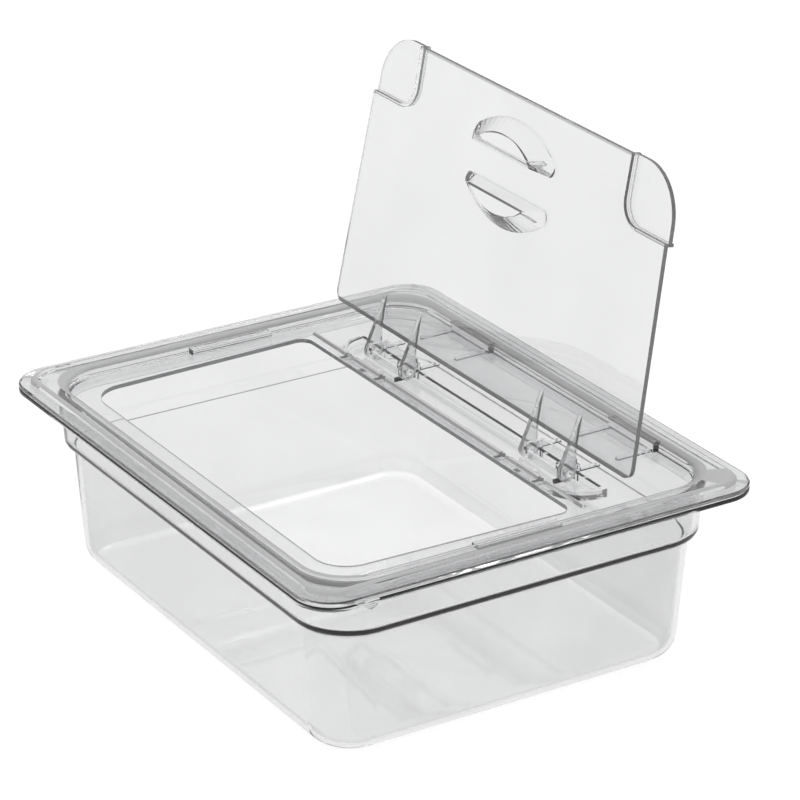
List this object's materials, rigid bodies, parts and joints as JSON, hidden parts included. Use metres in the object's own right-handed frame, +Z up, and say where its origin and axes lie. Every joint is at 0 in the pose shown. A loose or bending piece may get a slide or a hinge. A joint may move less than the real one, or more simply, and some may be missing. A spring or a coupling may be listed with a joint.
{
  "type": "deli food pan",
  "caption": "Clear rectangular half-size food pan with a stacking shoulder, a seated lid base with a serving window, and a hinged flip lid with finger dents.",
  "frame": {"origin": "middle of the pan's underside", "axes": "+X along the hinge and the longer side of the flange, +Y towards the hinge side, +Z up"},
  "size_m": [0.325, 0.265, 0.2686],
  "materials": {
    "clear_pan": "clear moulded polycarbonate, glossy",
    "clear_lid": "clear moulded polycarbonate, glossy, with a lightly frosted rim band",
    "clear_flap": "clear moulded polycarbonate, glossy"
  },
  "bodies": {
    "pan_body": {"pan": "clear_pan"},
    "lid_base_body": {"lid_base": "clear_lid"},
    "flip_lid_body": {"flip_lid": "clear_flap"}
  },
  "joints": [
    {"name": "lid_lift", "type": "slide", "parent": "pan_body", "child": "lid_base_body", "axis": [0, 0, 1], "range_m": [0, 0.06]},
    {"name": "flap_hinge", "type": "hinge", "parent": "lid_base_body", "child": "flip_lid_body", "pos_m": [0, 0.0575, 0.1004], "axis": [1, 0, 0], "range_deg": [0, 100]}
  ]
}
